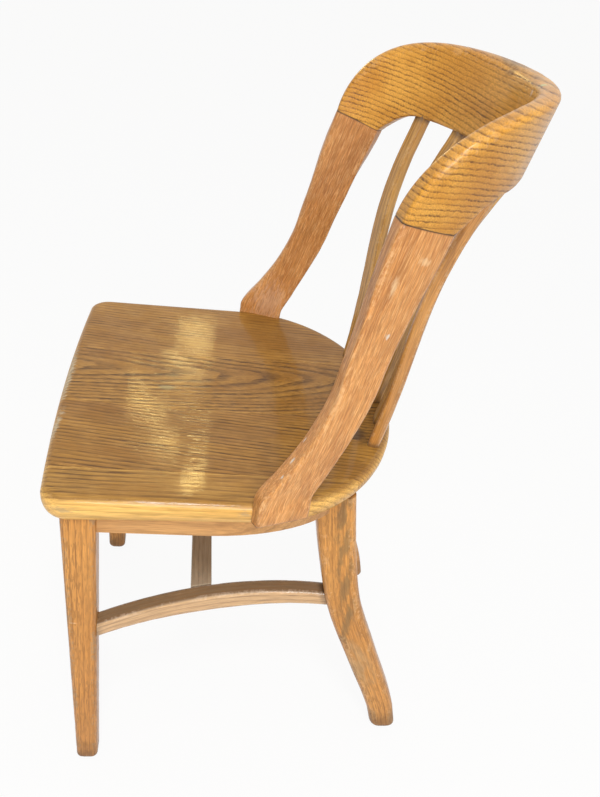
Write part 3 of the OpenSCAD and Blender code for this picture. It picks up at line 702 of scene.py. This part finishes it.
class Wiring:
    """The emptied nodes of a material or a world, and short words that add to them."""

    def __init__(self, owner):
        owner.use_nodes = True
        self.owner = owner
        self.tree = owner.node_tree
        self.tree.nodes.clear()

    def add(self, kind, inputs, out=0, **settings):
        node = self.tree.nodes.new("ShaderNode" + kind)
        for key, value in settings.items():
            setattr(node, key, value)
        for key, value in inputs.items():
            if isinstance(value, bpy.types.NodeSocket):
                self.tree.links.new(value, node.inputs[key])
            else:
                node.inputs[key].default_value = value
        return node.outputs[out] if node.outputs else None

    def sum(self, operation, first, *others):
        """One operation, in which each further part is worked into what came before."""
        for other in others or (0.0,):
            first = self.add("Math", {0: first, 1: other}, operation=operation)
        return first

    def times(self, *parts):
        return self.sum("MULTIPLY", *parts)

    def plus(self, *parts):
        return self.sum("ADD", *parts)

    def stretch(self, at, scale, turn=(0, 0, 0), move=(0, 0, 0)):
        return self.add("Mapping", {"Vector": at, "Location": move, "Rotation": turn, "Scale": scale})

    def cloud(self, at, scale, detail, rough):
        return self.add("TexNoise", {"Vector": at, "Scale": scale, "Detail": detail, "Roughness": rough})

    def band(self, value, low, high, to_low=0.0, to_high=1.0, kind="SMOOTHSTEP"):
        values = {"Value": value, "From Min": low, "From Max": high, "To Min": to_low, "To Max": to_high}
        return self.add("MapRange", values, interpolation_type=kind)

    def tint(self, share, a, b, way="MIX"):
        return self.add("Mix", {0: share, 6: a, 7: b}, out=2, data_type="RGBA", blend_type=way)

    def value_of(self, name, out=2):
        return self.add("Attribute", {}, out=out, attribute_name=name)

    def seen(self):
        """1 for the camera's rays and for mirrored or transmitted ones, and 0 for all others."""
        rays = self.add("LightPath", {}).node.outputs
        kinds = ("Is Camera Ray", "Is Glossy Ray", "Is Transmission Ray")
        return self.sum("MAXIMUM", *[rays[kind] for kind in kinds])


# %% [markdown]
# ## Oak
#
# Oak is ring porous: each year begins with a belt of open pores, which varnish and dirt turn
# dark, and ends in dense pale wood. So the finish draws the tree, not the surface. Growth
# rings are distances from the heart of the tree, a line that runs along the fibres, and each
# piece is cut from its own place in that tree. A board cut near the heart shows pointed
# arches, one cut far out shows straight lines, and a curved cut shows loops, all by itself.
#
# Over the rings come the fine things: short dark pores, fibres, the pale flecks that a cut
# along the rays brings out, broad changes of tone, a film on what looks up, worn arrises,
# grime in the corners, patches of stain or bare wood where the real chair has them, and a
# few darker patches. The film on what looks up is dust on the stretchers, and on the seat it
# is darker varnish together with painted shade, which keeps the seat's top darker than its
# edge. On the rubbed seat the dark lines fade at its arrises and its sides. Last comes a clear
# coat, as thick and as smooth as the piece's varnish is.

# %% The oak finish
def oak(name, tones, fibre, heart, pitch, rings, gloss, flecks=0.0, follow=False, worn=None, wear=0.4,
        waves=0.024, marks=(), lying=None, belt=0.55, dash=0.07, soft=0.3, coat=0.3, sheen=0.10,
        rubbed=1.0):
    """An oak finish. fibre is the way the wood grows, and heart a point on the tree's middle line."""
    w = Wiring(bpy.data.materials.new(name))
    pale, deep, pore = tones
    here = w.add("TexCoord", {}, out=3)
    start = w.value_of("grain", out=1) if follow else here
    turn = Vector(fibre).normalized().rotation_difference(Vector((0, 0, 1)))
    tree = w.stretch(start, (1, 1, 1), turn.to_euler(), -(turn @ Vector(heart)))

    def strung(share, scale, detail, rough, move=(0, 0, 0)):
        """A cloud drawn out along the fibres."""
        return w.cloud(w.stretch(tree, (1, 1, share), move=move), scale, detail, rough)

    def sway(amount, *cloud):
        """A drawn-out cloud that swings to both sides of zero."""
        return w.times(w.sum("SUBTRACT", strung(*cloud), 0.5), amount)

    # Years are counted outwards from the heart, with a slow wander and a fine jitter
    across = w.add("VectorMath", {0: tree, 1: (1, 1, 0)}, operation="MULTIPLY")
    radius = w.add("VectorMath", {0: across}, out=1, operation="LENGTH")
    wander = sway(waves, 0.16, 11, 2, 0.45)
    jitter = sway(0.0030, 0.16, 150, 2, 0.5)
    years = w.sum("DIVIDE", w.plus(radius, wander, jitter), pitch)
    season = w.sum("FRACT", years)
    year = w.add("TexWhiteNoise", {"W": w.sum("FLOOR", years)}, noise_dimensions="1D")

    # Early wood is a belt of open pores, darker in some years than in others
    belts = w.times(w.band(season, 0.0, 0.06), w.band(season, belt, belt * 0.35))
    early = w.times(belts, w.band(year, 0.0, 1.0, 0.7, 1.0))
    pores = w.band(strung(dash, 560, 1, 0.5), 0.42, 0.58)
    strands = strung(0.03, 1100, 2, 0.6)
    lines = w.times(early, w.band(pores, 0, 1, 0.5, 1.0))
    loose = w.times(w.band(pores, 0.7, 1.0), soft)
    fade = w.band(strung(0.14, 42, 2, 0.5), 0.36, 0.6, 0.55, 1.0)
    dark = w.times(w.sum("MAXIMUM", lines, loose), fade, rings)
    if rubbed < 1:
        dark = w.times(dark, w.band(w.value_of("arris"), 0.0, 1.0, 1.0, rubbed))
        dark = w.times(dark, w.band(w.value_of("upward"), 0.1, 0.6, rubbed, 1.0))

    # The wood between the pores
    tone = w.band(strung(0.22, 20, 3, 0.6), 0.3, 0.7)
    tone = w.plus(w.times(tone, 0.75), w.times(season, 0.25))
    grey = w.band(strands, 0.3, 0.7, 0.78, 1.12)
    shade = w.add("CombineColor", {0: grey, 1: grey, 2: grey})
    colour = w.tint(1.0, w.tint(tone, deep, pale), shade, "MULTIPLY")
    patchy = w.cloud(here, 34, 4, 0.62)
    fine = w.cloud(here, 260, 3, 0.6)
    rough = w.plus(gloss, w.band(patchy, 0.35, 0.75, -0.05, 0.12))
    # A film on what looks up: dust on the stretchers, and on the seat darker varnish together with
    # painted shade, which keeps the seat's top darker than its edge.
    if lying:
        film, strength, way = lying
        lies = w.times(w.band(w.value_of("upward"), 0.35, 0.93), strength)
        lies = w.times(lies, w.band(patchy, 0.2, 0.55, 0.86, 1.0))
        colour = w.tint(lies, colour, film, way)
    if flecks:
        rays = w.band(strung(0.09, 760, 2, 0.6), 0.50, 0.64)
        colour = w.tint(w.times(rays, flecks), colour, paint(240, 190, 130))
        grains = w.band(strung(0.09, 700, 2, 0.6, move=(3, 1, 2)), 0.50, 0.64)
        colour = w.tint(w.times(grains, flecks), colour, paint(158, 88, 42))

    # Marks are ragged spots: a place, its reach across and along the fibres in millimetres,
    # a colour, how strong it is and how fine its ragged edge
    for middle, reach, hue, strength, ragged in marks:
        local = w.stretch(here, (1, 1, 1), turn.to_euler(), -(turn @ place(*middle)))
        off = w.add("VectorMath", {0: local, 1: tuple(1000 / r for r in reach)}, operation="MULTIPLY")
        far = w.add("VectorMath", {0: off}, out=1, operation="LENGTH")
        rag = sway(2.4, 0.3, ragged, 3, 0.6)
        spot = w.times(w.band(w.plus(far, rag), 1.05, 0.2), strength)
        colour = w.tint(spot, colour, hue)
        rough = w.plus(rough, w.times(spot, 0.15))
    colour = w.tint(dark, colour, pore)
    rough = w.plus(rough, w.times(dark, 0.22))

    # Worn arrises and grime, both broken up by the same clouds
    chipped = w.band(w.plus(patchy, fine), 0.95, 1.2)
    edge = w.times(w.band(w.value_of("arris"), 0.55, 1.0), chipped, wear)
    colour = w.tint(edge, colour, worn or paint(230, 188, 138))
    grime = w.value_of("grime")
    dirt = w.times(grime, w.band(w.plus(patchy, grime), 0.7, 1.2))
    colour = w.tint(dirt, colour, paint(78, 58, 40))
    rough = w.plus(rough, w.times(w.plus(dirt, edge), 0.2))

    # Open pores are sunk, and the whole surface is a little wavy
    height = w.sum("SUBTRACT", w.times(strands, 0.25), dark)
    relief = w.add("Bump", {"Strength": 0.7, "Distance": 0.0002, "Height": height})
    ripple = strung(0.5, 26, 2, 0.5)
    relief = w.add("Bump", {"Strength": 0.12, "Distance": 0.001, "Height": ripple, "Normal": relief})
    surface = w.add("BsdfPrincipled", {
        "Base Color": colour, "Roughness": rough, "Normal": relief, "Coat Weight": coat,
        "Coat Roughness": sheen, "Specular IOR Level": 0.25, "Coat Normal": relief,
    })
    w.add("OutputMaterial", {"Surface": surface})
    return w.owner


def dress(slot, name, tones, fibre, heart, on=(), **look):
    """Makes an oak finish and gives it to the piece of that name, or to the pieces in on. slot is not
    used.
    """
    material = oak("oak_" + name, tones, fibre, heart, **look)
    piece_names = on or [name]
    print(material.name, "is on", *piece_names)
    for piece_name in piece_names:
        piece = pieces[piece_name]
        piece.data.materials.clear()
        piece.data.materials.append(material)


# %% [markdown]
# ## Which piece grew where
#
# The seat boards run front to back. The second board from the sitter's right has the heart
# close below it, and so the pointed arches; the others are cut further out. The crest rail is
# sawn from a block whose rings lie nearly level, tilted a little sideways, which is why its
# dark lines don't quite run with its edges. Posts are cut along the rays and show short flecks
# in place of strong lines. In legs, side stretchers and spindles the fibres follow the curve of
# the piece.

# %% Tones
left_tones = (paint(250, 200, 112), paint(212, 158, 76), paint(84, 56, 28))
seat_tones = (paint(236, 182, 94), paint(194, 140, 62), paint(76, 50, 24))
crest_tones = (paint(222, 162, 66), paint(188, 124, 28), paint(98, 62, 24))
post_tones = (paint(216, 154, 90), paint(192, 129, 70), paint(112, 68, 34))
leg_tones = (paint(214, 152, 78), paint(192, 128, 58), paint(128, 86, 44))
rail_tones = (paint(214, 162, 102), paint(192, 138, 80), paint(132, 92, 56))
beige_tones = (paint(222, 182, 134), paint(198, 156, 110), paint(132, 98, 66))
cross_tones = (paint(186, 168, 144), paint(160, 142, 118), paint(108, 88, 70))
block_tones = (paint(186, 146, 104), paint(158, 118, 80), paint(104, 74, 48))
spindle_tones = (paint(218, 168, 92), paint(184, 132, 62), paint(104, 70, 36))
near_spindle_tones = (paint(214, 156, 84), paint(182, 122, 58), paint(112, 72, 38))
# Olive varnish on the seat's top, together with painted shade that keeps the top darker than the seat's
# edge.
olive_varnish_and_shade = ((0.47, 0.41, 0.27, 1), 1.0, "MULTIPLY")
dusty = (paint(98, 82, 66), 0.8, "MIX")
stain = paint(96, 86, 58)
chalk = paint(222, 214, 200)
worn_grey = paint(152, 138, 112)

# %% Seat finishes
ahead = (0, 1, 0)
comb_tone = paint(200, 188, 160)
seat_look = {"gloss": 0.6, "coat": 0.4, "sheen": 0.08, "rubbed": 0.55, "lying": olive_varnish_and_shade, "wear": 0.12}
side_marks = [
    ((225, 31, 433), (6, 5, 14), worn_grey, 0.5, 320),
    ((225, 212, 436), (8, 5, 9), worn_grey, 0.5, 320),
]
centre_left_marks = [
    ((105, 3, 446), (70, 6, 7), comb_tone, 0.7, 420),
    # A dark patch on the seat between the near post and the near spindle.
    ((84, 352, 446), (34, 5, 15), paint(66, 50, 36), 0.8, 220),
]
arch_marks = [
    ((-10, 3, 446), (80, 6, 7), comb_tone, 0.7, 420),
    ((-1, 123, 443), (8, 6, 12), paint(160, 158, 118), 0.5, 160),
]
dress("seat_oak", "seat_left", left_tones, (0.02, 1, 0.01), (0.40, 0, 0.24),
      pitch=0.0056, rings=1.0, waves=0.010, marks=side_marks, **seat_look)
dress("seat_oak", "seat_centre_left", seat_tones, (0.12, 1, -0.02),
      (0.30, 0, 0.36), pitch=0.0056, rings=1.0, waves=0.022, marks=centre_left_marks, **seat_look)
dress("seat_oak", "seat_centre_right", seat_tones, (0.0, 1, -0.12),
      (-0.035, -0.245, 0.424), pitch=0.0060, rings=1.0, waves=0.028, belt=0.62, marks=arch_marks,
      **seat_look)
dress("seat_oak", "seat_right", seat_tones, (0.08, 1, 0.02), (-0.36, 0, 0.33),
      pitch=0.0060, rings=0.75, waves=0.02, **seat_look)

# %% Back finishes
crest_marks = [
    ((-10, 468, 854), (6, 14, 120), paint(104, 88, 62), 0.75, 60),
    ((67, 465, 852), (6, 9, 11), paint(198, 208, 150), 0.9, 90),
    ((49, 463, 841), (5, 4, 6), paint(232, 208, 190), 0.8, 90),
    ((-30, 467, 846), (6, 6, 10), paint(96, 64, 34), 0.6, 120),
]
dress("crest_oak", "crest", crest_tones, (1, 0.02, 0.03), (0, 0.05, 0.30),
      pitch=0.0056, rings=0.95, waves=0.008, gloss=0.5, coat=0.45, sheen=0.2, belt=0.48, wear=0.2,
      marks=crest_marks, dash=0.16, soft=0.2)
near_post_marks = [
    ((232, 243, 493), (1.8, 1.8, 10), chalk, 0.9, 260),
    ((226, 252, 509), (1.6, 1.6, 9), chalk, 0.9, 260),
    ((219, 262, 529), (1.3, 1.3, 8), chalk, 0.8, 260),
    ((210, 321, 695), (4, 4, 12), paint(240, 206, 160), 0.6, 420),
    ((200, 347, 715), (7, 9, 5), paint(240, 206, 160), 0.5, 420),
    ((209, 325, 643), (3.2, 3.2, 3.2), chalk, 0.8, 420),
    ((197, 301, 691), (8, 6, 18), paint(150, 104, 68), 0.5, 80),
]
far_post_marks = [((-209, 258, 469), (34, 30, 40), paint(216, 174, 140), 0.5, 300)]
for word, way, marks in (("left", 1, near_post_marks), ("right", -1, far_post_marks)):
    along = place(way * 191, 316, 752) - place(way * 214, 240, 447)
    dress("post_oak", "post_" + word, post_tones, along, (way * 0.6, 0.35, 0.5),
          pitch=0.0075, rings=0.35, flecks=0.4, gloss=0.42, soft=0.8, wear=0.3, marks=marks)
spindle_look = {"pitch": 0.0048, "rings": 0.6, "follow": True, "gloss": 0.36, "coat": 0.8,
                "wear": 0.15, "worn": paint(236, 214, 176)}
for word, (x, turn) in spindles.items():
    tones = near_spindle_tones if word == "left" else spindle_tones
    dress("crest_oak", "spindle_" + word, tones, (0, 0, 1), (x / 1000 - 0.3, 0.1, 0),
          on=["spindle_bar_" + word], **spindle_look)

# %% Finishes below the seat
leg_look = {"pitch": 0.0056, "rings": 0.75, "belt": 0.42, "dash": 0.14, "soft": 0.6, "follow": True,
            "waves": 0.02, "gloss": 0.4}
front_marks = [
    ((213, 33, 313), (4, 4, 7), stain, 0.6, 120),
    ((212, 36, 258), (7, 6, 1.3), paint(236, 196, 148), 0.6, 120),
]
dress("leg_oak", "leg_front_left", leg_tones, (0, 0.01, 1), (0.13, 0.4, 0),
      marks=front_marks, worn=worn_grey, **leg_look)
dress("leg_oak", "leg_front_right", leg_tones, (0.01, 0, 1), (-0.2, 0.3, 0),
      worn=worn_grey, **leg_look)
rear_marks = [
    ((150, 385, 110), (40, 40, 120), paint(172, 150, 114), 0.5, 60),
    ((164, 331, 395), (8, 9, 50), stain, 0.62, 200),
    ((164, 340, 335), (8, 7, 50), stain, 0.58, 200),
    ((164, 352, 275), (8, 7, 50), stain, 0.58, 200),
    ((164, 364, 212), (8, 8, 60), stain, 0.58, 200),
]
dress("leg_oak", "leg_rear_left", leg_tones, (0, 0.02, 1), (0.2, 0.3, 0),
      marks=rear_marks, wear=0.3, **leg_look)
dress("leg_oak", "leg_rear_right", leg_tones, (0.02, 0, 1), (-0.3, 0.2, 0),
      wear=0.3, **leg_look)
stretcher_look = {"pitch": 0.005, "rings": 0.7, "follow": True, "gloss": 0.4, "coat": 0.9,
                  "sheen": 0.14, "wear": 0.2, "worn": paint(236, 214, 192), "lying": dusty}
dress("leg_oak", "stretcher_left", beige_tones, ahead, (0.2, 0, 0.2),
      **stretcher_look)
dress("leg_oak", "stretcher_right", beige_tones, ahead, (-0.2, 0, 0.25),
      **stretcher_look)

# %% Finishes of the softened copies
sideways = (1, 0, 0)
cross_film = (paint(132, 112, 92), 0.4, "MIX")
rail_look = {"pitch": 0.006, "rings": 0.5, "gloss": 0.42, "wear": 0.0}
dress("leg_oak", "stretcher_cross", cross_tones, sideways, (0, 0.2, 0.1),
      pitch=0.005, rings=0.6, gloss=0.5, wear=0.0, lying=cross_film)
dress("leg_oak", "rail_side", rail_tones, ahead, (0.5, 0, 0.5),
      on=["rail_side_left", "rail_side_right"], **rail_look)
dress("leg_oak", "rail_cross", rail_tones, sideways, (0, 0.2, 0.2),
      on=["rail_front", "rail_rear"], **rail_look)
dress("hidden_oak", "blocks", block_tones, (1, 0.9, 0), on=["block_left", "block_right"],
      heart=(0, 0.1, 0.3), pitch=0.005, rings=0.6, gloss=0.55, wear=0.0, coat=0.0)

# %% [markdown]
# ## Screws and dowels
#
# These small pieces hide in their holes, and only screw heads show from below. Their solids
# have the right shape, so they stay, with a brushed grey steel and a bare beech. The steel's
# scratches and the beech's pores are noise stretched along one direction.

# %% Steel and beech
def small_finish(name, light, dark, metallic, stretch, gloss):
    """A streaked and blotched finish. stretch draws the streaks out along one direction."""
    w = Wiring(bpy.data.materials.new(name))
    here = w.add("TexCoord", {}, out=3)
    streaks = w.cloud(w.stretch(here, stretch), 500, 3, 0.6)
    blotch = w.cloud(here, 90, 3, 0.5)
    share = w.times(w.band(streaks, 0.35, 0.7), w.band(blotch, 0.3, 0.7, 0.5, 1.0))
    colour = w.tint(share, light, dark)
    rough = w.band(blotch, 0.3, 0.7, gloss, gloss + 0.2)
    relief = w.add("Bump", {"Strength": 0.3, "Distance": 0.0001, "Height": streaks})
    surface = w.add("BsdfPrincipled", {
        "Base Color": colour, "Roughness": rough, "Normal": relief, "Metallic": metallic,
    })
    w.add("OutputMaterial", {"Surface": surface})
    return w.owner


steel = small_finish("screw_steel", paint(150, 148, 142), paint(104, 92, 78), 1.0, (1, 1, 0.2), 0.35)
beech = small_finish("dowel_beech", paint(216, 180, 134), paint(180, 138, 92), 0.0, (1, 0.2, 0.2), 0.55)
small_solids = {
    "seat_screws": steel, "block_screws": steel, "crest_dowels": beech, "post_dowels": beech,
}
for node_name, material in small_solids.items():
    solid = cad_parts[node_name]
    solid.data.materials.clear()
    solid.data.materials.append(material)
print("dressed", len(pieces), "pieces and", len(small_solids), "small solids")

# %% [markdown]
# ## Floor, light and camera
#
# The picture has a plain white ground and soft light. The floor is pale by its own colour.
# Where the camera sees it, or a shiny surface mirrors it, nearly all of what it shows is plain
# white, so that only a soft shadow stays under the chair. The sky is wired in the same way. As a
# light it is brighter high up than near the floor, and weaker from the chair's front and back.
# Two round lamps add to it from the sitter's left. Three thin ones on the right stand for the sun
# through gaps, and are mirrored on the seat as small bright spots. The camera looks from the
# sitter's left front and down, and is tilted slightly, as the photograph was taken.

# %% Floor and surroundings
floor_mesh = bmesh.new()
bmesh.ops.create_circle(floor_mesh, cap_ends=True, radius=40.0, segments=96)
floor_data = bpy.data.meshes.new("floor")
floor_mesh.to_mesh(floor_data)
floor_mesh.free()
floor = bpy.data.objects.new("floor", floor_data)
bpy.context.scene.collection.objects.link(floor)
matt_floor = paint(218, 218, 216)
shown_white = (1, 1, 1, 1)
white_share = 0.92
w = Wiring(bpy.data.materials.new("floor_pale"))
matt = w.add("BsdfDiffuse", {"Color": matt_floor})
white = w.add("Emission", {"Color": shown_white, "Strength": 1.0})
share = w.times(w.seen(), white_share)
w.add("OutputMaterial", {"Surface": w.add("MixShader", {0: share, 1: matt, 2: white})})
floor.data.materials.append(w.owner)
print("the floor reaches", floor.dimensions.x / 2, "m each way")

# %% The sky
world = bpy.data.worlds.new("studio")
bpy.context.scene.world = world
w = Wiring(world)
toward = w.add("SeparateXYZ", {0: w.add("TexCoord", {})}).node.outputs
level = w.band(toward["Z"], 0.25, 0.95, 0.34, 0.85, "LINEAR")
dimmer = w.band(w.sum("ABSOLUTE", toward["Y"]), 0.3, 0.9, 1.1, 0.5, "LINEAR")
strength = w.times(level, dimmer)
soft_sky = w.add("Background", {"Color": (1, 0.97, 0.92, 1), "Strength": strength})
white_sky = w.add("Background", {"Color": shown_white, "Strength": 1.0})
w.add("OutputWorld", {0: w.add("MixShader", {0: w.seen(), 1: soft_sky, 2: white_sky})})
print("the sky has", len(w.tree.nodes), "nodes")

# %% Lamps
def lamp(name, spot, aim, size, power, colour=(1, 1, 1)):
    """A round lamp at a spot, turned towards aim, that the camera doesn't see."""
    data = bpy.data.lights.new(name, "AREA")
    data.shape = "DISK"
    data.size = size
    data.energy = power
    data.color = colour
    light = bpy.data.objects.new(name, data)
    light.location = spot
    light.rotation_euler = (Vector(aim) - Vector(spot)).to_track_quat("-Z", "Y").to_euler()
    light.visible_camera = False
    bpy.context.scene.collection.objects.link(light)
    print(name, "shines at", power, "W")
    return light


def standing(spot, right, up, back):
    """The matrix of an object at a spot, from the three directions that are its own."""
    return Matrix.Translation(spot) @ Matrix((right, up, back)).transposed().to_4x4()


lamp("lamp_key", (2.8, 0.05, 1.7), (0, 0, 0.45), 1.5, 48)
lamp("lamp_top", (1.5, -0.1, 2.5), (0, 0, 0.4), 0.5, 24)
lit_spot = Vector((0.03, -0.11, 0.445))
slit_width, slit_power, sun_colour = 0.03, 0.3, (1, 0.76, 0.28)
slits = (
    ((-0.957, -0.121, 0.938), (-0.994, -0.031, 0.972)),
    ((-0.837, -0.189, 0.978), (-0.744, -0.105, 1.007)),
    ((-0.609, -0.094, 1.036), (-0.650, -0.040, 1.000)),
)
for number, (start, end) in enumerate(slits):
    along = Vector(end) - Vector(start)
    middle = (Vector(start) + Vector(end)) / 2
    slit = lamp("lamp_slit_" + str(number), middle, lit_spot, along.length, slit_power, sun_colour)
    slit.data.shape = "ELLIPSE"
    slit.data.size_y = slit_width
    away = (middle - lit_spot).normalized()
    square_on = away.cross(along).normalized()
    slit.matrix_world = standing(middle, square_on.cross(away), square_on, away)

# %% Camera
azimuth, elevation, tilt = radians(80.0), radians(31.7), radians(8.8)
focal_pixels, picture_height, sensor = 800, 797, 36
back = Vector((sin(azimuth) * cos(elevation), -cos(azimuth) * cos(elevation), sin(elevation)))
side = (-back).cross(Vector((0, 0, 1))).normalized()
above = side.cross(-back)
right = cos(tilt) * side + sin(tilt) * above
up = cos(tilt) * above - sin(tilt) * side
eye = bpy.data.cameras.new("camera")
eye.sensor_width = sensor
eye.lens = sensor * focal_pixels / picture_height
eye.clip_start, eye.clip_end = 0.05, 200
camera = bpy.data.objects.new("camera", eye)
camera.matrix_world = standing((0.8496, -0.1055, 0.9718), right, up, back)
bpy.context.scene.collection.objects.link(camera)
bpy.context.scene.camera = camera
bpy.context.scene.view_settings.view_transform = "Standard"
print("the camera has a lens of", round(eye.lens, 1), "mm")
